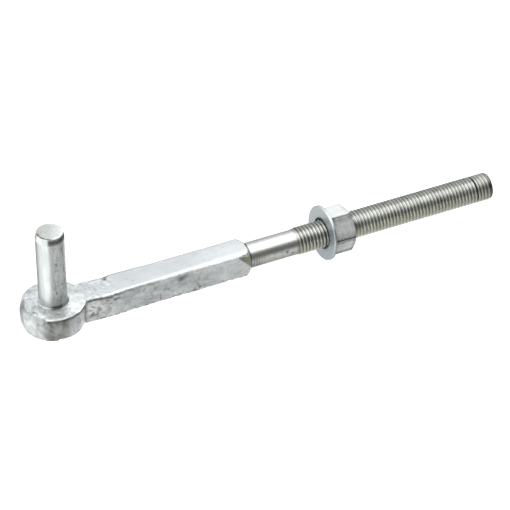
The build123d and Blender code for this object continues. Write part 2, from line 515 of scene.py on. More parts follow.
# Darker clouds on the bar's near face: x, z, half sizes and darkness
front_clouds = [
    (57.3, -5.3, 6.0, 2.4, 0.34),
    (88.0, -4.6, 4.4, 2.6, 0.40),
    (41.0, -6.0, 7.5, 2.0, 0.36),
    (30.0, -5.4, 3.4, 1.7, 0.30),
    (48.0, -11.0, 7.0, 2.4, 0.14),
    (72.0, -7.5, 6.0, 2.0, 0.12),
    (106.0, -11.0, 8.0, 2.2, 0.12),
    (66.0, -14.5, 5.0, 2.2, 0.12),
    (34.0, -15.5, 6.0, 2.0, 0.16),
    (23.8, -14.2, 2.4, 2.6, 0.34),
]


def near_face_dirt(p):
    """Uneven zinc, clouds and a dark lower edge on the near face of the neck and bar."""
    rough_end = 1 - smooth(34, 60, p[0])
    smoother = (1 - 0.45 * smooth(88, 102, p[0])) * (1 - 0.8 * rolled_edge(p))
    dirt_and_shade = (0.46 + 0.26 * rough_end) * smoother * max(0.0, mottle(drawn(p), 2.0))
    for x, z, half_x, half_z, dark in front_clouds:
        d = ((p[0] - x) / half_x) ** 2 + ((p[2] - z) / half_z) ** 2
        if d < 5:
            dirt_and_shade += dark * exp(-d) * (0.8 + 0.9 * wavy(p, 2.6, 2.7))
    if p[2] < -17:
        low = smooth(bar_low + 2.4, bar_low + 0.6, p[2])
        dirt_and_shade += 0.6 * low * max(0.0, 0.25 + 1.3 * wavy(p, 3.0, 7.1))
    return dirt_and_shade


def eye_wall_darkening(p, turn):
    """Darker brown-grey streaks down the eye's near wall, darker patches on its right, and calmer greys
    on its left.
    """
    streak = 0.5 + 0.9 * round_wavy(turn, p[2] / 5, 1.6, 4.2) + 0.4 * mottle(p, 6.0)
    near_wall = between(234, 274, turn, 9) * smooth(-1.0, -3.0, p[2])
    dirt_and_shade = near_wall * clamp(0.36 + 0.34 * streak, 0, 1)
    dirt_and_shade += 0.16 * smooth(314, 326, turn) * (1 - smooth(350, 356, turn)) * (0.5 + 0.8 * streak)
    right = clamp(0.4 * streak - 0.22 + 1.4 * mottle(p, 11.0), 0, 1)
    dirt_and_shade += 0.50 * between(284, 338, turn, 8) * right
    calm = smooth(-5.0, -8.0, p[2])
    flow = noise.noise(Vector(((turn - 205 + 2.2 * (p[2] + 9)) / 9, p[2] / 14, 3.3)))
    left = 0.20 + 0.50 * (1 - 0.85 * calm) * clamp(0.1 + mottle(p, 8.0), 0, 1)
    left += 0.22 * calm * clamp(flow + 0.1, -0.5, 1)
    dirt_and_shade += left * between(165, 238, turn, 10)
    return dirt_and_shade + 0.16 * between(150, 184, turn, 4) * smooth(-13.0, -9.0, p[2])


def pale_patch_share(p):
    """1 in a patch in front of the pin, where the eye's top is lighter and less clouded."""
    return spot(p[0], -1.0, 8.0, p[1], -13.0, 5.0)


def forged_dirt_and_shade(p):
    """How dark the zinc is: painted shadow in the fold under the flash, painted shade in the inside
    corner and along the back edge, nicks, and the clouds that the photograph shows.
    """
    # painted shadow in the fold under the flash, and painted shade in the inside corner of neck and eye
    dirt_and_shade = 0.92 * crease_share(p) + 0.90 * corner_share(p)
    dirt_and_shade += sum(line_share(p, m) * m[4] for m in marks)
    turn, out = bearing(p)
    if p[1] < front + 1.5 and p[0] > neck_x:
        dirt_and_shade += near_face_dirt(p)
    if p[2] < -1.0 and out > eye_rim_r - 2.2 and p[0] < eye_to_x:
        dirt_and_shade += eye_wall_darkening(p, turn)
    if p[0] < 0 and out > eye_rim_r - 4:
        # the side that faces away from the light looks dull
        dirt_and_shade += 0.26 * between(146, 176, turn, 9) * smooth(eye_rim_r - 4, eye_rim_r, out)
    if p[2] > -2.2 and out < eye_rim_r:
        # grey film on the eye's top in front of the pin, with painted shade from the pin
        dirt_and_shade += 0.04 * spot(p[0], -5.5, 9.5, p[1], -14.0, 4.2) * mottle(p, 3.3)
    if p[2] > -2.8 and p[0] < neck_end_x:
        left = smooth(2, -14, p[0])
        cloud = clamp(0.04 + 0.10 * left + mottle(p, 4.0), 0, 1)
        dirt_and_shade += (0.38 + 0.20 * left) * (1 - 0.7 * pale_patch_share(p)) * cloud
    if p[2] > -2.4 and p[1] > 8.2 and p[0] > neck_x:
        # painted shade along the back edge of the top, with uneven streaks
        dirt_and_shade += 0.05 + 0.30 * smooth(8.2, 9.2, p[1]) * (1 - smooth(60, 100, p[0]))
        dirt_and_shade += 0.12 * max(0.0, mottle((0.3 * p[0], p[1], 0.0), 21.0))
        dirt_and_shade += 0.06 * smooth(6.0, 8.5, p[1]) * smooth(96, 110, p[0])
    # painted shade on the ground sliver, less of it near the shoulder
    ground = 0.36 - 0.20 * smooth(shoulder_x - 6.5, shoulder_x - 1.5, p[0]) + 0.14 * mottle(p, 5.0)
    return dirt_and_shade + ground * facet_share(p)


def forged_tarnish(p):
    """Olive tint where the zinc is thin: the ground facet, the eye's wall and the near face."""
    turn, out = bearing(p)
    wall = 0.0
    if p[2] < -2 and out > eye_rim_r - 2 and p[0] < 18:
        streak = clamp(0.45 + 0.9 * round_wavy(turn, p[2] / 5, 1.6, 9.1), 0, 1)
        wall = between(236, 280, turn, 10) * streak + 0.6 * between(318, 350, turn, 6)
    brown = 0.0
    if p[1] < front + 1.5 and p[0] > neck_x:
        brown = 0.35 * clamp(wavy(p, 7.0, 12.0), 0, 1) * (1 - 0.6 * smooth(90, 110, p[0]))
    return 0.9 * facet_share(p) + 0.8 * wall + brown


def top_wear_and_highlight(p, turn, out):
    """Brightness of the top: a painted highlight on the bar's rubbed near edge, a painted highlight on
    the lip round the eye, and the eye beside the pin.
    """
    bright = 0.0
    if p[2] > -1.5 and p[0] > neck_x:
        # painted highlight along the rounded near edge, where the zinc is also rubbed
        width = 2.2 + 3.2 * smooth(46, 122, p[0])
        bright += 0.55 * smooth(front + width, front + 0.35 * width, p[1])
        bright += 0.20 * smooth(96, 124, p[0]) * smooth(9.0, 3.0, p[1])
        bright += 0.10 * smooth(4.0, -6.0, p[1])
        bright += 0.22 * max(0.0, mottle((0.22 * p[0], p[1], 0.0), 15.0)) * smooth(36, 44, p[0])
    if p[2] > -1.2 and p[0] < 22:
        right = spot(p[0], 11.5, 5.5, p[1], -10.0, 9.0)
        bright += 0.85 * right * (1 + 0.5 * wavy(p, 3.0, 5.6))
        # painted highlight on the lip round the eye's near rim
        lip = smooth(eye_rim_r - 1.4, eye_rim_r - 0.6, out)
        bright += 0.35 * lip * between(soft_rim_to, flash_to, turn, 4)
        bright += 0.8 * pale_patch_share(p) * clamp(0.8 + 1.2 * mottle(p, 3.3), 0, 1)
    return bright


def near_face_wear_and_highlight(p):
    """Brightness of the near face, most of all at the neck, and a painted highlight along the rolled
    edge.
    """
    neck = 1 - smooth(34, 50, p[0])
    bright = 0.07 + (0.45 + 0.40 * neck) * max(0.0, -mottle(drawn(p), 2.0)) + 0.16 * neck
    bright += 0.22 * smooth(62, 70, p[0]) * smooth(-8.0, -3.0, p[2])
    return bright + 0.16 * smooth(98, 118, p[0]) + 0.55 * smooth(0.10, 0.55, rolled_edge(p))


def forged_wear_and_highlight(p):
    """Where the zinc is bright: rubbed edges and the lip round the eye with painted highlights, painted
    highlights on the rim above the ground sliver and down the soft rim, and worn patches.
    """
    turn, out = bearing(p)
    bright = top_wear_and_highlight(p, turn, out)
    if p[1] < front + 1.2 and neck_x < p[0] < 34 and p[2] < -3:
        patch = spot(p[0], 24.5, 7.5, p[2], -9.6, 5.5)
        bright += 1.5 * patch * clamp(0.85 + 1.4 * wavy(p, 2.6, 8.2), 0, 1)
    if p[1] < front + 1.5 and p[0] > neck_x:
        # the ground sliver gets no brightness, and the rim above it a painted highlight
        dull, rim = facet_places(p)
        bright = (bright + near_face_wear_and_highlight(p)) * (1 - dull) + 0.6 * rim
    elif p[2] < -2 and out > eye_rim_r - 2:
        bright += 0.45 * max(0.0, -mottle(p, 6.0)) + 0.30 * between(288, 316, turn, 10)
    elif p[2] > -2.8 and p[0] < neck_end_x:
        bright += 0.40 * max(0.0, -mottle(p, 4.0))
    # painted highlight in a streak down the soft rim on the left
    rim = between(178, 232, turn, 8) * bump(p[2], -5.5, 3.5) * smooth(eye_rim_r - 6, eye_rim_r - 3, out)
    return bright + 0.35 * rim * clamp(0.5 + wavy(p, 4.0, 2.4), 0, 1)


def forged_even(p):
    """The bar's top is a smooth pale grey, the neck's and the eye's less so."""
    if p[2] < -2.2:
        return 0.0
    return 0.45 + 0.45 * smooth(36, 46, p[0]) - 0.35 * smooth(85, 122, p[0])


def remeshed(name, source, cut_x, voxel_mm):
    """Copy of a CAD mesh up to cut_x, closed there and remeshed as an even skin."""
    bm = bmesh.new()
    bm.from_mesh(source.data)
    bmesh.ops.remove_doubles(bm, verts=bm.verts, dist=0.001 * MM)
    geometry = bm.verts[:] + bm.edges[:] + bm.faces[:]
    plane = {"plane_co": (cut_x * MM, 0, 0), "plane_no": (1, 0, 0), "clear_outer": True}
    cut = bmesh.ops.bisect_plane(bm, geom=geometry, dist=1e-7, **plane)
    rim = [g for g in cut["geom_cut"] if isinstance(g, bmesh.types.BMEdge)]
    bmesh.ops.holes_fill(bm, edges=rim, sides=0)
    bmesh.ops.triangulate(bm, faces=bm.faces)
    mesh = bpy.data.meshes.new(name)
    bm.to_mesh(mesh)
    bm.free()
    obj = add_object(name, mesh)
    skin = obj.modifiers.new("skin", "REMESH")
    skin.mode = "VOXEL"
    skin.voxel_size = voxel_mm * MM
    skin.adaptivity = 0.0
    skin.use_smooth_shade = True
    soften = obj.modifiers.new("soften", "SMOOTH")
    soften.factor = 0.5
    soften.iterations = 2
    depsgraph = bpy.context.evaluated_depsgraph_get()
    even = bpy.data.meshes.new_from_object(obj.evaluated_get(depsgraph))
    bpy.data.objects.remove(obj)
    return even


def hammer(mesh):
    """Move every point of the clean skin to its place on the forged one."""
    moved = []
    for v in mesh.vertices:
        p = v.co / MM
        # the end face at the shoulder is turned, so it stays flat
        end_face = v.normal.x > 0.9 and p.x > shoulder_x - 1
        new = p if end_face else p + forged_shift(p, v.normal)
        inside = [clamp(new[k], arm_low[k] + 0.01, arm_high[k] - 0.01) for k in range(3)]
        moved.append(Vector(inside) * MM)
    for v, co in zip(mesh.vertices, moved):
        v.co = co
    mesh.update()


def torn_share(x, t):
    """1 in the torn turn of the thread, which runs over the near side only."""
    away = (degrees(t) + 80) % 360 - 80
    turn = (x - helix_x) / pitch - away / 360
    return bump(turn, 0.5, 0.42) * smooth(-25, 0, away) * (1 - smooth(190, 215, away))


def rod_radius(x, u, t):
    """Radius of the threaded rod, with its run-in, rounded end, torn turn and zinc lumps."""
    crest = thread_r - thread_depth(u) - 0.45 * torn_share(x, t)
    start = smooth(thread_x, thread_x + run_in + 1.0, x)
    r = shank_r + (crest - shank_r) * start
    lump = 0.05 * wavy((x, r * cos(t), r * sin(t)), 2.0, 2.2) - 0.05
    crest_wear = 0.08 * max(0.0, wavy((x, r * cos(t), r * sin(t)), 6.0, 8.1))
    r += (lump - crest_wear) * start
    return min(r, rounded_end(x))


def rounded_end(x):
    """Radius that the end's chamfer allows, eased where it meets the thread."""
    left = (rod_end_x - x) / (end_chamfer * 1.9)
    if left >= 1:
        return thread_r
    return thread_r - end_chamfer * (1 - sqrt(1 - (1 - left) ** 2)) * 0.9 - 0.1 * (1 - left)


def shank_radius(x, t):
    """Radius of the turned shank, with its root fillet, tool rings and nicks near the thread."""
    from_shoulder = x - shoulder_x
    r = shank_r
    if from_shoulder < root_r:
        inside = clamp(root_r - from_shoulder, 0, root_r)
        r += root_r - sqrt(max(0.0, root_r**2 - inside**2))
    rings = 1 - smooth(3.0, 6.0, from_shoulder)
    r -= 0.05 * rings * (0.5 + 0.5 * sin(from_shoulder * 2 * pi / 0.9))
    hollow = 0.5 + 0.5 * wavy((x, 9 * cos(t), 9 * sin(t)), 9.0, 4.4)
    r -= 0.05 * hollow * smooth(2, 6, from_shoulder)
    blend = 1 - smooth(thread_x - 2.0, thread_x, x)
    away = degrees(t)
    nick = bump(x, 165.4, 1.3) * bump(away, 176, 12) + bump(x, 169.8, 2.6) * bump(away, 190, 6)
    return r * blend + shank_r * (1 - blend) - 0.30 * nick


def threaded_rod(n):
    """Points and faces of the shank, the thread and the flat end, as one closed skin."""
    start = shoulder_x - 2.0
    stations = [start]
    x = shoulder_x
    while x < thread_x - 0.05:
        stations.append(x)
        x += 0.1 if x < shoulder_x + root_r else 0.3 if x < shoulder_x + 6 else 0.5
    places = [lambda t, x=x: on_bolt(x, shank_radius(max(x, shoulder_x), t), t) for x in stations]
    places.append(lambda t: on_bolt(thread_x, shank_r, t))
    shank = turned(places, n)
    add_cap(*shank, 0, (start, 0, bolt_z), n)
    face_r = rounded_end(rod_end_x)
    face = [(1.0, 0.0), (0.96, 0.04), (0.6, 0.10)]
    end = turned([lambda t, s=s, d=d: on_bolt(rod_end_x - d, face_r * s, t) for s, d in face], n)
    add_cap(*end, 2 * n, (rod_end_x - 0.11, 0, bolt_z), n)
    return joined(shank, helix_grid(thread_x, rod_end_x, rod_radius, n), end)


def thread_residue_and_shade(p, away, deep, end_face):
    """Residue and painted shade on the thread, from the bearing and the depth below the crest."""
    first = 1 - smooth(nut_low[0] - 4, nut_low[0], p[0])
    # residue and painted shade in the roots; the upper side reflects the ceiling, and shows its roots
    # least
    root = smooth(0.25, 0.80, deep) * (0.18 + 0.18 * between(128, 200, away, 14) + 0.12 * first)
    cloud = 0.10 * max(0.0, wavy(p, 9.0, 5.5)) + 0.07 * first * between(128, 300, away, 10)
    uneven = 0.14 * clamp(0.3 + wavy(p, 3.2, 3.6) + 0.8 * wavy(p, 1.4, 6.6), 0, 1)
    far_end = 0.05 * smooth(nut_high[0], nut_high[0] + 60, p[0])
    far_end += 0.10 * smooth(torn_x, torn_x + 6, p[0])
    # painted dark reflection in a band across the rod's front, and painted shade along its upper back
    band = 0.32 * between(134, 156, away, 6) + 0.17 * between(102, 134, away, 8)
    band += 0.09 * between(160, 186, away, 6)
    back = 0.48 * between(40, 103, away, 8) * (1 - 0.7 * smooth(torn_x - 2, torn_x + 6, p[0]))
    torn = 0.95 * torn_share(p[0], radians(away)) * smooth(0.3, 0.9, deep)
    return root * (1 - end_face) + cloud + uneven + far_end + band + back + torn


def shank_marks_and_shade(p, away):
    """The turned shank: painted dark reflection in a band above and along its upper back, painted shade
    on its lower side, and specks and tool rings below.
    """
    streak = 1 + 0.9 * wavy((0.2 * p[0], p[1], p[2]), 1.6, 5.8)
    # painted dark reflection along the upper back, and in a band across the front
    dirt_and_shade = 0.30 * (1 - smooth(78, 102, away)) + 0.44 * between(137, 156, away, 9) * streak
    # painted shade on the lower side
    dirt_and_shade += between(188, 320, away, 12) * (0.13 + 0.22 * smooth(194, 206, away))
    dirt_and_shade += 0.62 * between(160, 320, away, 12) * max(0.0, mottle(p, 1.2))
    from_shoulder = p[0] - shoulder_x
    tool_rings = (0.5 + 0.5 * sin(pi * from_shoulder)) * (1 - smooth(6, 14, from_shoulder))
    return dirt_and_shade + 0.42 * between(158, 320, away, 8) * tool_rings


def rod_dirt_and_shade(p):
    """Grey residue on the bolt's end and in the nicks, and painted shade round the shoulder."""
    away, r = bolt_place(p)
    on_thread = smooth(thread_x - 0.5, thread_x + run_in, p[0])
    end_face = 0.50 * smooth(rod_end_x - 3.0, rod_end_x - 0.6, p[0])
    dirt_and_shade = on_thread * thread_residue_and_shade(p, away, thread_r - r, end_face) + end_face
    dirt_and_shade += (1 - on_thread) * shank_marks_and_shade(p, away)
    # painted shade next to the shoulder
    near_shoulder = bump(p[0], shoulder_x + 0.5, 0.9) * (1 - 0.55 * between(162, 320, away, 10))
    nick = bump(p[0], 165.4, 1.6) * bump(away, 176, 13) + bump(p[0], 169.8, 3.0) * bump(away, 190, 7)
    return dirt_and_shade + 0.8 * near_shoulder + 0.7 * nick


def rod_tarnish(p):
    """The thread is a shade more olive than the shank, most of all along its underside."""
    away, _ = bolt_place(p)
    on_thread = smooth(thread_x - 1, thread_x + 2, p[0])
    thread = 0.25 + 0.45 * between(150, 300, away, 20)
    return on_thread * thread + (1 - on_thread) * 0.45 * between(190, 300, away, 14)


def rod_wear_and_highlight(p):
    """The thread's crests are rubbed bright, with painted highlights in bands along the rod."""
    away, r = bolt_place(p)
    crest = 1 - smooth(0.10, 0.35, thread_r - r)
    # painted highlights in two bands along the rod, over a little rubbed brightness
    lit = 0.12 + 0.25 * between(104, 126, away, 6) + 0.12 * between(156, 190, away, 8)
    return lit * crest * smooth(thread_x, thread_x + run_in, p[0])


def hook_arm():
    """Forging and bolt end as one piece, with a material for each."""
    segments = 64
    voxel = 0.55
    points, faces = threaded_rod(segments)
    arm = make_object("forged_hook_arm", points, faces, "hook", "galvanised_arm", "hook_arm")
    paint(arm, rod_dirt_and_shade, rod_wear_and_highlight, rod_tarnish)
    coat(arm, "zinc_on_forging", "zinc_on_thread")
    arm.data.polygons.foreach_set("material_index", [1] * len(arm.data.polygons))
    skin = remeshed("forging", frame["nodes"]["hook_arm"], shoulder_x - 0.01, voxel)
    hammer(skin)
    forging = add_object("forging", skin)
    paint(forging, forged_dirt_and_shade, forged_wear_and_highlight, forged_tarnish, forged_even)
    skin.materials.clear()
    skin.materials.append(arm.data.materials[0])
    skin.polygons.foreach_set("material_index", [0] * len(skin.polygons))
    for obj in bpy.context.scene.objects:
        obj.select_set(obj in (arm, forging))
    bpy.context.view_layer.objects.active = arm
    bpy.ops.object.join()
    smooth_shade(arm)


# The hinge pin

# A scar on the pin's near side: its bearing and height at the upper and the lower end
scar_from = (260.0, 25.0)
scar_to = (264.0, 15.5)
pin_spot = (267.0, 12.6)

# The top face: its height, its radius, and how far its centre lies off the pin's axis
pin_top = pin_high[2] - 0.4
pin_face_r = 8.72
pin_face_off = (0.22, 0.20)


def pin_place(p):
    """Bearing round the pin in degrees, and distance from the middle of its top face."""
    r = hypot(p[0] - pin_face_off[0], p[1] - pin_face_off[1])
    return degrees(atan2(p[1], p[0])) % 360, r


def across_top(p):
    """How far a place on the pin's top lies from its middle, away from the window."""
    return 0.9 * p[0] - 0.43 * p[1]


def scar_share(away, z, wide):
    """1 on the scar, falling softly to 0 at its sides and ends."""
    along = clamp((scar_from[1] - z) / (scar_from[1] - scar_to[1]), 0, 1)
    middle = scar_from[0] + along * (scar_to[0] - scar_from[0]) + 0.8 * sin(z * 0.7)
    return bump(away, middle, wide) * between(scar_to[1], scar_from[1], z, 1.5)


def foot_flare(away, z):
    """How far zinc stands out round the pin's foot, with a ragged lump on the right."""
    ring = 0.75 + 0.25 * round_wavy(away, 0.0, 4.0, 6.0)
    lump = bump(away, 332, 40) * (1 + 0.9 * round_wavy(away, z, 1.6, 3.0))
    return ring * (1 - smooth(0.2, 1.1, z)) + 0.16 * lump * (1 - smooth(1.4, 4.0, z))


def pin_radius(z, t):
    """Radius of the round bar, with the zinc at its foot and its shallow scars."""
    away = degrees(t) % 360
    r = pin_r - 0.04 + 0.06 * round_wavy(away, z, 11.0, 1.1) + foot_flare(away, z)
    chip = bump(z, pin_spot[1], 1.5) * bump(away, pin_spot[0], 6)
    return r - 0.25 * scar_share(away, z, 3.0) - 0.30 * chip


def pin_chamfer_height(t):
    """The chamfer is ground by hand: tallest on the near side."""
    return 3.50 + 0.45 * cos(t - radians(245)) + 0.12 * wavy((cos(t), sin(t), 0), 0.4, 9.0)


def foot_ring(z, r):
    """Ring of the closed-over foot."""
    return lambda t: (r * cos(t), r * sin(t), z + 0.10 * wavy((cos(t), sin(t), r), 0.8, 2.0))


def body_ring(z):
    """Ring of the round bar."""
    return lambda t: (pin_radius(z, t) * cos(t), pin_radius(z, t) * sin(t), z)


def chamfer_ring(share, inward):
    """Ring on the chamfer, share of the way from the round bar to the top face."""
    def place(t):
        r = (pin_r - 0.04) * (1 - share) + pin_face_r * share - inward
        z = pin_top - pin_chamfer_height(t) * (1 - share) - 0.3 * inward
        return pin_face_off[0] * share + r * cos(t), pin_face_off[1] * share + r * sin(t), z
    return place


def face_ring(share):
    """Ring on the top face, share of the way from its middle to its worn rim."""
    def place(t):
        worn = 0.25 * bump(degrees(t), 350, 60) + 0.15 * bump(degrees(t), 200, 50)
        worn *= smooth(0.66, 1.0, share)
        x = pin_face_r * share * cos(t)
        y = pin_face_r * share * sin(t)
        rough = 0.05 * wavy((x, y, 0), 3.0, 4.0) - 0.05
        return pin_face_off[0] + x, pin_face_off[1] + y, pin_top + rough - 0.3 * worn
    return place


def hinge_pin():
    """Round bar with an uneven chamfered top and a closed-over foot under the eye."""
    n = 200
    bottom = -eye_thick
    places = [
        foot_ring(pin_low[2] + 0.12, pin_r * 0.55), foot_ring(bottom - 0.30, pin_r * 0.95),
        foot_ring(bottom - 0.05, pin_r + 1.75), foot_ring(bottom + 0.35, pin_r + 1.85),
        foot_ring(bottom + 2.4, pin_r - 0.02),
    ]
    z = bottom + 4
    while z < pin_top - 4.8:
        places.append(body_ring(z))
        z += 0.35 if -1.5 < z < 6 else 0.7
    # the chamfer's first ring and its last one are eased
    places += [chamfer_ring(0.0, 0.0), chamfer_ring(0.03, 0.04)]
    places += [chamfer_ring(share, 0.0) for share in (0.2, 0.4, 0.6, 0.8, 0.97)]
    places.append(chamfer_ring(1.0, 0.10))
    places += [face_ring(share) for share in (0.97, 0.93, 0.88, 0.78, 0.66, 0.52, 0.35, 0.18)]
    points, faces = turned(places, n)
    add_cap(points, faces, len(points) - n, (*pin_face_off, pin_top - 0.06), n)
    add_cap(points, faces, 0, (0, 0, pin_low[2]), n)
    pin = make_object("hinge_pin_bar", points, faces, "hook", "galvanised_pin", "hinge_pin")
    smooth_shade(pin, 24)
    paint(pin, pin_dirt_and_shade, pin_painted_highlight, pin_tarnish)
    coat(pin, "zinc_on_pin")


def pin_chamfer_share(p):
    """1 on the ground chamfer below the pin's top face."""
    away, r = pin_place(p)
    if r < pin_face_r - 0.05:
        return 0.0
    return smooth(0.3, 0.0, pin_top - pin_chamfer_height(radians(away)) - p[2])


def pin_dirt_and_shade(p):
    """Dark marks on the pin: scars, painted shade on the chamfer, residue and painted shade on its
    side, and painted shadow round its foot.
    """
    away, _ = pin_place(p)
    blotch = mottle(p, 3.0)
    dirt_and_shade = 0.50 * scar_share(away, p[2], 4.0)
    dirt_and_shade += 0.6 * bump(p[2], pin_spot[1], 1.8) * bump(away, pin_spot[0], 8)
    # painted shade on the chamfer, darkest where it turns to the right
    up = 1 - (pin_top - p[2]) / pin_chamfer_height(radians(away))
    chamfer_shade = 0.54 + 0.20 * bump(away, 345, 34) + 0.22 * blotch
    chamfer_shade += 0.36 * bump(up, 0.45 + 0.15 * blotch, 0.50)
    chamfer = chamfer_shade * between(243, 354, away, 4) + 0.24 * between(150, 243, away, 4) * (1 + blotch)
    dirt_and_shade += chamfer * pin_chamfer_share(p) + pin_top_film_and_shade(p, blotch)
    if 4.0 < p[2] < pin_top - 4.0:
        # streaked residue, and painted shade, on the side turned away from the window
        dirt_and_shade += between(252, 352, away, 7) * clamp(0.04 + 0.62 * streaks(away, p[2]), 0, 1)
        # painted shade along the pin's left edge
        dirt_and_shade += 0.10 * between(168, 186, away, 5)
        dirt_and_shade += 0.44 * (1 - smooth(172, 226, away)) * smooth(120, 150, away)
    return dirt_and_shade + pin_foot_shade_and_residue(p, away, blotch)


def pin_top_film_and_shade(p, blotch):
    """Grey film on the top face with painted shadow towards its left, and a dark line of painted shade
    inside its left rim.
    """
    away, r = pin_place(p)
    if p[2] <= pin_top - 1 or r >= pin_face_r - 0.2:
        return 0.0
    line = bump(r, pin_face_r - 0.5, 1.1) * between(170, 258, away, 15)
    film = clamp(0.2 + blotch, 0, 1) + smooth(1.0, -8.0, across_top(p))
    return 0.85 * line * (1 + 0.6 * blotch) + 0.16 * film


def pin_foot_shade_and_residue(p, away, blotch):
    """Painted shadow round the pin where it leaves the eye, fading upwards, a lump of residue on the
    right, and residue in rings on the left.
    """
    front_ring = (1 - smooth(1.2, 3.6, p[2])) * between(240, 290, away, 12)
    lump = (1 - smooth(2.6, 5.0, p[2])) * between(300, 352, away, 8) * (0.4 + 1.2 * blotch)
    fade = 0.20 * (1 - smooth(2, 14, p[2])) * between(240, 350, away, 12)
    hidden_edge = 0.35 * (1 - smooth(1.0, 2.0, p[2])) * between(180, 240, away, 6)
    grooves = hidden_edge * (0.5 + 0.5 * sin(p[2] * 2 * pi / 0.8))
    return 0.66 * front_ring + 0.20 * lump + fade + grooves


def streaks(away, z):
    """Drawn streaks along the bar with specks in them, from about -1 to 1."""
    long = round_wavy(away, z / 6, 1.5, 7.7)
    short = round_wavy(away, z / 2, 0.9, 1.7)
    speck = max(0.0, round_wavy(away, z, 1.1, 5.2) - 0.25)
    return 0.7 * long + 0.6 * short + 1.6 * speck


def pin_tarnish(p):
    """Olive streaks on the side away from the window, and a little on the top."""
    away, _ = pin_place(p)
    streak = clamp(0.2 + 0.9 * round_wavy(away, p[2] / 8, 2.2, 7.7), 0, 1)
    face = 0.2 * smooth(3.0, -6.0, across_top(p)) if p[2] > pin_top - 0.3 else 0.0
    return 0.35 * streak * between(250, 350, away, 12) + face


def pin_painted_highlight(p):
    """Painted highlights: the chamfer's left side, the top's right rim and right side, and a line round
    the foot.
    """
    away, r = pin_place(p)
    bright = 0.8 * pin_chamfer_share(p) * between(176, 240, away, 4)
    if p[2] > pin_top - 1:
        bright += 0.8 * smooth(pin_face_r - 2.2, pin_face_r - 0.9, r) * between(262, 380, away, 10)
        bright += 0.45 * smooth(-1.0, 7.0, across_top(p))
    foot = bump(p[2], 0.35, 0.6) * smooth(pin_r + 0.15, pin_r + 0.5, hypot(p[0], p[1]))
    return bright + 0.8 * foot * between(190, 268, away, 6)


# Washer and nut


# The washer's middle, and the turn from its own axes to the object's
washer_mid = Vector(washer_low).lerp(Vector(washer_high), 0.5)
washer_turn = Quaternion((0, 0, 1), radians(washer_swing)) @ Quaternion((0, 1, 0), radians(washer_lean))


def washer_outline(near, far, outer, hole):
    """X and radius round the section: over the rim, in through the hole and out again."""
    return [
        (near, outer - 1.0), (near + 0.04, outer - 0.6), (near + 0.16, outer - 0.22),
        (near + 0.36, outer - 0.05), (near + 0.6, outer), (far - 0.30, outer),
        (far - 0.07, outer - 0.05), (far, outer - 0.25), (far, hole + 0.45),
        (far - 0.1, hole + 0.12), (far - 0.4, hole), (near + 0.7, hole),
        (near + 0.35, hole + 0.08), (near + 0.1, hole + 0.3), (near, hole + 0.7),
        (near, hole + 2.6), (near, hole + 4.4), (near, outer - 2.6),
    ]


def washer_ring(x, r):
    """Ring of the washer's section, a little wavy, in the object's axes."""
    def place(t):
        dent = 0.5 + 0.5 * wavy((cos(t), sin(t), 0), 0.6, 7.7)
        wide = r - 0.12 * smooth(washer_hole_r + 1, washer_r, r) * dent
        y, z = wide * cos(t), wide * sin(t)
        hollow = 0.04 * (0.5 + 0.5 * wavy((0, y, z), 5.0, 2.3))
        return washer_mid + washer_turn @ Vector((x + hollow if x < 0 else x - hollow, y, z))
    return place


def washer():
    """Punched washer: rolled over on the near side, with a slight burr on the far side."""
    n = 144
    outline = washer_outline(-washer_t / 2, washer_t / 2, washer_r, washer_hole_r)
    skin = turned([washer_ring(x, r) for x, r in outline], n, closed=True)
    ring = make_object("plain_washer", *skin, "washer", "galvanised_washer", "washer")
    smooth_shade(ring, 40)
    paint(ring, washer_mottle_and_shade, washer_painted_light, even=lambda p: 0.5)
    coat(ring, "zinc_on_washer")


def washer_place(p):
    """A place in the washer's own axes, and its distance from the washer's axis."""
    local = washer_turn.inverted() @ (p - washer_mid)
    return local, hypot(local.y, local.z)


def washer_mottle_and_shade(p):
    """Painted shade, black in the hole, and faint mottling on the faces."""
    hole = 1 - smooth(washer_hole_r + 0.1, washer_hole_r + 0.9, washer_place(p)[1])
    return 0.95 * hole + 0.05 * clamp(mottle(p, 9.0), 0, 1)


def washer_painted_light(p):
    """Painted light: the faces are brighter towards the top, and so is the rim."""
    local, out = washer_place(p)
    rim = smooth(washer_r - 0.9, washer_r - 0.2, out)
    turn = degrees(atan2(local.z, -local.y)) % 360
    face = 0.30 * smooth(-4, 18, local.z + 0.6 * local.y)
    return face + rim * (0.02 + 0.10 * between(20, 150, turn, 25))


def hex_radius(t):
    """Distance from the nut's axis to its side at angle t, with softened corners."""
    side = (degrees(t) - nut_roll) % 60 - 30
    flat = nut_af / 2 / cos(radians(side))
    corner = nut_af / 2 / cos(radians(30)) - 0.32
    soft = 0.07
    return -soft * log(exp(-flat / soft) + exp(-corner / soft))


def nut_bore(x, u, t):
    """Radius of the nut's own thread, a hair outside the bolt's, opened by a cone at each face."""
    own = thread_r - thread_depth(u) + 0.13
    return max(own, nut_mouth_r - min(x - nut_low[0], nut_high[0] - x))


def nut_face(x):
    """Rings of a flat face, from the bore's mouth outwards."""
    radii = (nut_mouth_r, nut_mouth_r + 0.25, nut_face_r - 0.2)
    return [lambda t, r=r: on_bolt(x, r, t) for r in radii]


def nut_chamfer(end, inward, share, deeper):
    """Ring on the chamfer cone, share of the way from the face to the hexagon's side."""
    def place(t):
        wide = (hex_radius(t) - nut_face_r) * share
        return on_bolt(end + inward * (wide * nut_slope + deeper), nut_face_r + wide, t)
    return place


def nut_side(share):
    """Ring on the sides, share of the way from the near chamfer to the far one."""
    def place(t):
        back = (hex_radius(t) - nut_face_r) * nut_slope + 0.5
        dent = 0.06 * (0.5 + 0.5 * wavy((share * 17, 14 * cos(t), 14 * sin(t)), 4.5, 3.9))
        a, b = nut_low[0] + back, nut_high[0] - back
        return on_bolt(a + (b - a) * share, hex_radius(t) - dent, t)
    return place


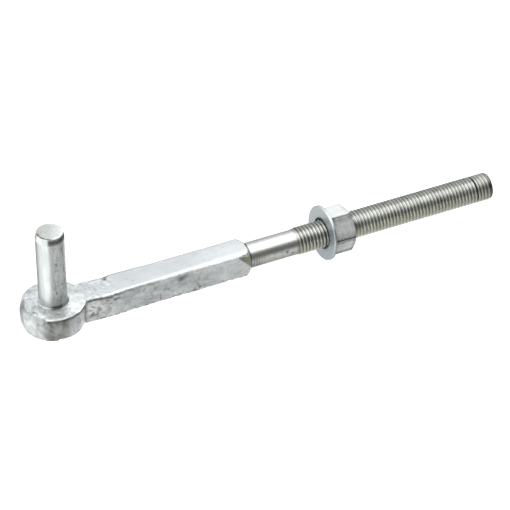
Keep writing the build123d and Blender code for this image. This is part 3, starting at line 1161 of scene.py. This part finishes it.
def hex_nut():
    """Hexagon nut chamfered on both faces, its bore threaded to match the bolt."""
    n = 192
    near, far = nut_low[0], nut_high[0]
    bevel = [(0.02, 0.03), (0.9, 0.0), (1.0, 0.1)]
    places = nut_face(near) + [nut_chamfer(near, 1, *b) for b in bevel]
    places += [nut_side(step / 16) for step in range(17)]
    places += [nut_chamfer(far, -1, *b) for b in reversed(bevel)] + nut_face(far)[::-1]
    skin = joined(turned(places, n), helix_grid(near, far, nut_bore, n))
    nut = make_object("hexagon_nut", *skin, "nut", "galvanised_nut", "hex_nut")
    smooth_shade(nut, 22)
    paint(nut, nut_dirt_and_shade, nut_painted_light)
    coat(nut, "zinc_on_nut")


def nut_dirt_and_shade(p):
    """Dark in the bore, painted dark reflections along the corners, painted shade at the edges of the
    flats and through the washer's hole, and residue in small patches on the sides.
    """
    away, r = bolt_place(p)
    from_near = p[0] - nut_low[0]
    side = abs((away - nut_roll) % 60 - 30)
    # painted dark reflection along the hexagon's corners
    corner = smooth(27.6, 29.2, side) * smooth(nut_af / 2 * 0.97, nut_af / 2 * 1.05, r)
    far_band = smooth(nut_high[0] - 3.4, nut_high[0] - 1.6, p[0]) * smooth(13, 13.8, r)
    turned_up = between(52, 108, away, 3)
    # painted shade: each flat darker towards its edges and near the near face, except the flat that
    # faces up
    edges = 0.40 * smooth(8, 26, side) * smooth(13.2, 14.0, r)
    edges += 0.22 * (1 - smooth(1.2, 4.5, from_near)) * smooth(13.6, 14.2, r)
    low_flat = 0.14 * between(176, 226, away, 4) * (1 + 2.0 * mottle(p, 4.4))
    patch = (0.03 + 0.45 * max(0.0, mottle(p, 6.1))) * (1 - 0.85 * turned_up)
    # painted shadow: the near face is black in the washer's hole
    patch += 0.9 * (1 - smooth(thread_r + 1.4, thread_r + 2.2, r)) * (1 - smooth(0.3, 0.9, from_near))
    bore = 0.75 * (1 - smooth(thread_r, thread_r + 1.0, r))
    return bore + 0.70 * corner + 0.20 * far_band + edges * (1 - turned_up) + low_flat + patch


def nut_painted_light(p):
    """Painted light: the flat that faces up is the brightest."""
    return 0.65 * between(51, 108, bolt_place(p)[0], 3)


# Materials: hot-dipped zinc, each with its own grain, stain and roughness


def feed(tree, socket, value):
    """Link another node's output to an input, or set the input's own value."""
    if isinstance(value, bpy.types.NodeSocket):
        tree.links.new(value, socket)
    else:
        socket.default_value = value


def node(tree, kind, **inputs):
    """Add a node and feed its inputs by name."""
    n = tree.nodes.new(kind)
    for name, value in inputs.items():
        feed(tree, n.inputs[name.replace("_", " ")], value)
    return n


def ramp(tree, fac, stops):
    """Ramp whose stops are a place and a grey."""
    n = tree.nodes.new("ShaderNodeValToRGB")
    tree.links.new(fac, n.inputs["Fac"])
    while len(n.color_ramp.elements) < len(stops):
        n.color_ramp.elements.new(0.5)
    for element, (place, grey) in zip(n.color_ramp.elements, stops):
        element.position = place
        element.color = (grey, grey, grey, 1)
    return n.outputs["Color"]


def mix(tree, fac, a, b, blend="MIX"):
    """From a to b by a factor, where each may be a value or a socket."""
    n = tree.nodes.new("ShaderNodeMix")
    n.data_type = "RGBA"
    n.blend_type = blend
    n.clamp_factor = True
    for socket, value in ((n.inputs[0], fac), (n.inputs[6], a), (n.inputs[7], b)):
        feed(tree, socket, value)
    return n.outputs[2]


def grain(tree, place, size_mm, detail, rough, stretch=None):
    """Noise whose lumps are about size_mm across, from 0 to 1."""
    if stretch:
        place = node(tree, "ShaderNodeMapping", Vector=place, Scale=stretch).outputs["Vector"]
    scale = 1 / (size_mm * MM)
    n = node(tree, "ShaderNodeTexNoise", Vector=place, Scale=scale, Detail=detail, Roughness=rough)
    return n.outputs["Fac"]


def painted(tree, name):
    """Socket of the numbers stored by paint."""
    n = tree.nodes.new("ShaderNodeAttribute")
    n.attribute_name = name
    return n.outputs["Fac"]


# Each coat's tones, sizes of clouds and grain, lowest and highest roughness, and relief
coats = {
    "zinc_on_forging": dict(
        light=(0.70, 0.72, 0.73), dark=(0.45, 0.47, 0.47), cloud_mm=9.0, fine_mm=2.4,
        roughness=(0.36, 0.52), relief=0.5, metallic=0.75, specks=0.35,
    ),
    "zinc_on_thread": dict(
        light=(0.68, 0.69, 0.68), dark=(0.56, 0.57, 0.55), cloud_mm=5.0, fine_mm=1.4,
        roughness=(0.20, 0.30), relief=0.15, metallic=0.95, specks=0.3,
    ),
    "zinc_on_pin": dict(
        light=(0.60, 0.62, 0.62), dark=(0.46, 0.48, 0.47), cloud_mm=7.0, fine_mm=1.5,
        roughness=(0.24, 0.36), relief=0.35, metallic=0.82, specks=0.3, stretch=(1.0, 1.0, 0.22),
    ),
    "zinc_on_washer": dict(
        light=(0.47, 0.51, 0.535), dark=(0.385, 0.425, 0.45), cloud_mm=6.0, fine_mm=1.2,
        roughness=(0.32, 0.44), relief=0.22, metallic=0.80, specks=0.25,
    ),
    "zinc_on_nut": dict(
        light=(0.90, 0.91, 0.91), dark=(0.66, 0.68, 0.68), cloud_mm=5.0, fine_mm=1.6,
        roughness=(0.30, 0.42), relief=0.30, metallic=0.80, specks=0.35,
    ),
}

# Colours of stain with painted shade and of rubbed zinc with painted highlights, and how rough they are
stain_and_shade_colour = (0.045, 0.045, 0.038, 1)
stain_and_shade_rough = (0.65, 0.65, 0.65, 1)
wear_and_highlight_colour = (0.80, 0.82, 0.82, 1)
wear_and_highlight_rough = (0.26, 0.26, 0.26, 1)


def coat(obj, *names):
    """Give an object its zinc, one material for each name."""
    for name in names:
        obj.data.materials.append(zinc(name, **coats[name]))


def zinc(name, light, dark, cloud_mm, fine_mm, roughness, relief, metallic, specks, stretch=None):
    """Zinc coat: cloudy blotches, fine grain, dark specks, painted stain and shade, rubbed zinc and
    painted highlights, and a pitted surface.
    """
    material = bpy.data.materials.new(name)
    material.use_nodes = True
    tree = material.node_tree
    tree.nodes.clear()
    place = tree.nodes.new("ShaderNodeTexCoord").outputs["Object"]
    cloud = grain(tree, place, cloud_mm, 3.0, 0.55, stretch)
    fine = grain(tree, place, fine_mm, 3.0, 0.6, stretch)
    soft_cloud = ramp(tree, cloud, [(0.36, 0.0), (0.64, 1.0)])
    soft_fine = ramp(tree, fine, [(0.38, 0.0), (0.62, 1.0)])
    shade = mix(tree, 0.45, soft_cloud, soft_fine)
    colour = mix(tree, shade, (*dark, 1), (*light, 1))
    spots = ramp(tree, grain(tree, place, fine_mm * 1.4, 2.0, 0.7), [(0.64, 0.0), (0.76, specks)])
    colour = mix(tree, spots, colour, (*[c * 0.5 for c in dark], 1))
    olive = (dark[0] * 0.80, dark[1] * 0.79, dark[2] * 0.58, 1)
    plain = tuple(0.44 * a + 0.40 * b for a, b in zip(light, dark))
    plain = (plain[0] * 0.97, plain[1] * 0.98, plain[2] * 0.99, 1)
    # the stain layer also holds painted shade, and the rubbed layer painted highlights
    tints = {"tarnish": olive, "even": plain, "wear_and_highlight": wear_and_highlight_colour, "dirt_and_shade": stain_and_shade_colour}
    for layer, tint in tints.items():
        colour = mix(tree, painted(tree, layer), colour, tint)
    low, high = roughness
    rough = ramp(tree, cloud, [(0.3, high), (0.7, low)])
    rough = mix(tree, painted(tree, "wear_and_highlight"), rough, wear_and_highlight_rough)
    rough = mix(tree, painted(tree, "dirt_and_shade"), rough, stain_and_shade_rough)
    height = mix(tree, 0.45, cloud, fine)
    relief_node = node(tree, "ShaderNodeBump", Strength=relief, Distance=0.4 * MM, Height=height)
    shader = node(
        tree, "ShaderNodeBsdfPrincipled",
        Base_Color=colour, Roughness=rough, Metallic=metallic, Normal=relief_node.outputs["Normal"],
    )
    out = tree.nodes.new("ShaderNodeOutputMaterial")
    tree.links.new(shader.outputs["BSDF"], out.inputs["Surface"])
    return material


# Floor, light and camera

# The floor lies this far under the object, in metres, because the photograph shows no shadow.
# The camera sees it plain. What the zinc reflects of it is brightest on the left, and dims far out.
floor_drop = 0.5
floor_half = 12.0

# The plain tones that the camera sees, and black
plain_floor = (0.90, 0.90, 0.90, 1)
plain_room = (1.0, 1.0, 1.0, 1)
black = (0, 0, 0, 1)

# Lighter and darker parts of the floor: the way they lie, how far round they reach, and the gain
floor_zones = [
    ((0.59, 0.81, 0.0), 0.72, 0.92, 1.95),
    ((-0.31, 0.95, 0.0), 0.84, 0.97, 0.40),
    ((0.85, -0.50, 0.0), 0.78, 0.98, 0.72),
]


def softly(tree, value, low, high):
    """0 to 1, softly, as a value goes from low to high."""
    soft = node(tree, "ShaderNodeMapRange", Value=value, From_Min=low, From_Max=high)
    soft.interpolation_type = "SMOOTHSTEP"
    return soft.outputs["Result"]


def vector_math(tree, operation, place):
    """Vector Math node whose first input is a place."""
    n = tree.nodes.new("ShaderNodeVectorMath")
    n.operation = operation
    tree.links.new(place, n.inputs[0])
    return n


def directed(tree, place, toward, low, high):
    """0 to 1 as the place's direction turns toward one direction."""
    facing = vector_math(tree, "DOT_PRODUCT", place)
    facing.inputs[1].default_value = Vector(toward).normalized()
    return softly(tree, facing.outputs["Value"], low, high)


def plain_to_camera(tree, light, plain):
    """Only reflections find the lighter and darker parts, and the camera sees one plain tone."""
    seen = tree.nodes.new("ShaderNodeLightPath").outputs["Is Camera Ray"]
    return mix(tree, seen, light, plain)


def floor_light(tree, z):
    """How bright each part of the floor is, from how far and which way it lies."""
    place = tree.nodes.new("ShaderNodeTexCoord").outputs["Object"]
    flat = node(tree, "ShaderNodeMapping", Vector=place, Location=(0.0, 0.0, -z)).outputs["Vector"]
    distance = vector_math(tree, "LENGTH", flat).outputs["Value"]
    heading = vector_math(tree, "NORMALIZE", flat).outputs["Vector"]
    level = ramp(tree, softly(tree, distance, 1.05, 1.9), [(0.0, 0.50), (1.0, 0.12)])
    away = softly(tree, distance, 0.25, 0.50)
    for toward, low, high, gain in floor_zones:
        zone = mix(tree, directed(tree, heading, toward, low, high), black, away)
        level = mix(tree, zone, level, (gain, gain, gain, 1), "MULTIPLY")
    # lit from the window side, out to the room's edge
    left = mix(tree, directed(tree, heading, (-0.998, -0.07, 0.0), 0.48, 0.76), black, away)
    level = mix(tree, left, level, (1.50, 1.53, 1.53, 1))
    return plain_to_camera(tree, level, plain_floor)


def floor_plane():
    """Plain pale floor, which lights the zinc by what it reflects."""
    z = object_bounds()[0][2] - floor_drop
    s = floor_half
    mesh = bpy.data.meshes.new("floor")
    mesh.from_pydata([(-s, -s, z), (s, -s, z), (s, s, z), (-s, s, z)], [], [(0, 1, 2, 3)])
    obj = add_object("floor", mesh)
    material = bpy.data.materials.new("floor")
    material.use_nodes = True
    tree = material.node_tree
    shader = tree.nodes["Principled BSDF"]
    shader.inputs["Base Color"].default_value = (0.26, 0.26, 0.26, 1)
    shader.inputs["Roughness"].default_value = 0.9
    shader.inputs["Specular IOR Level"].default_value = 0.0
    shader.inputs["Emission Strength"].default_value = 1.0
    tree.links.new(floor_light(tree, z), shader.inputs["Emission Color"])
    mesh.materials.append(material)


def studio():
    """A wide soft ceiling that reaches down behind, a window on the left and a dim room."""
    world = bpy.data.worlds.new("studio")
    world.use_nodes = True
    tree = world.node_tree
    place = tree.nodes.new("ShaderNodeTexCoord").outputs["Generated"]
    room = (0.12, 0.12, 0.10, 1)
    low_sky, high_sky = (1.12, 1.15, 1.16, 1), (2.3, 2.32, 2.32, 1)
    window_light = (1.5, 1.52, 1.52, 1)
    ceiling = directed(tree, place, (-0.08, 0.33, 0.94), 0.30, 0.49)
    height = directed(tree, place, (-0.05, 0.05, 1.0), 0.62, 0.93)
    sky = mix(tree, height, low_sky, high_sky)
    light = mix(tree, ceiling, room, sky)
    window = directed(tree, place, (-0.998, 0.07, 0.0), 0.56, 0.72)
    light = mix(tree, window, light, window_light)
    light = plain_to_camera(tree, light, plain_room)
    tree.links.new(light, tree.nodes["Background"].inputs["Color"])
    tree.nodes["Background"].inputs["Strength"].default_value = 1.0
    bpy.context.scene.world = world


def camera():
    """Camera that was fitted to the photograph."""
    data = bpy.data.cameras.new("camera")
    data.lens = view_lens
    data.sensor_width = 36.0
    data.clip_start = 0.05
    data.clip_end = 50.0
    obj = add_object("camera", data)
    a, e = radians(view_azimuth), radians(view_elevation)
    back = Vector((sin(a) * cos(e), -cos(a) * cos(e), sin(e)))
    obj.location = (Vector(view_target) + back * view_distance) * MM
    look = (-back).to_track_quat("-Z", "Y")
    obj.rotation_euler = (look @ Quaternion((0, 0, 1), radians(view_roll))).to_euler()
    bpy.context.scene.camera = obj


hook_arm()
hinge_pin()
washer()
hex_nut()
floor_plane()
studio()
camera()
settings = bpy.context.scene.view_settings
settings.view_transform = "Standard"
settings.look = "None"
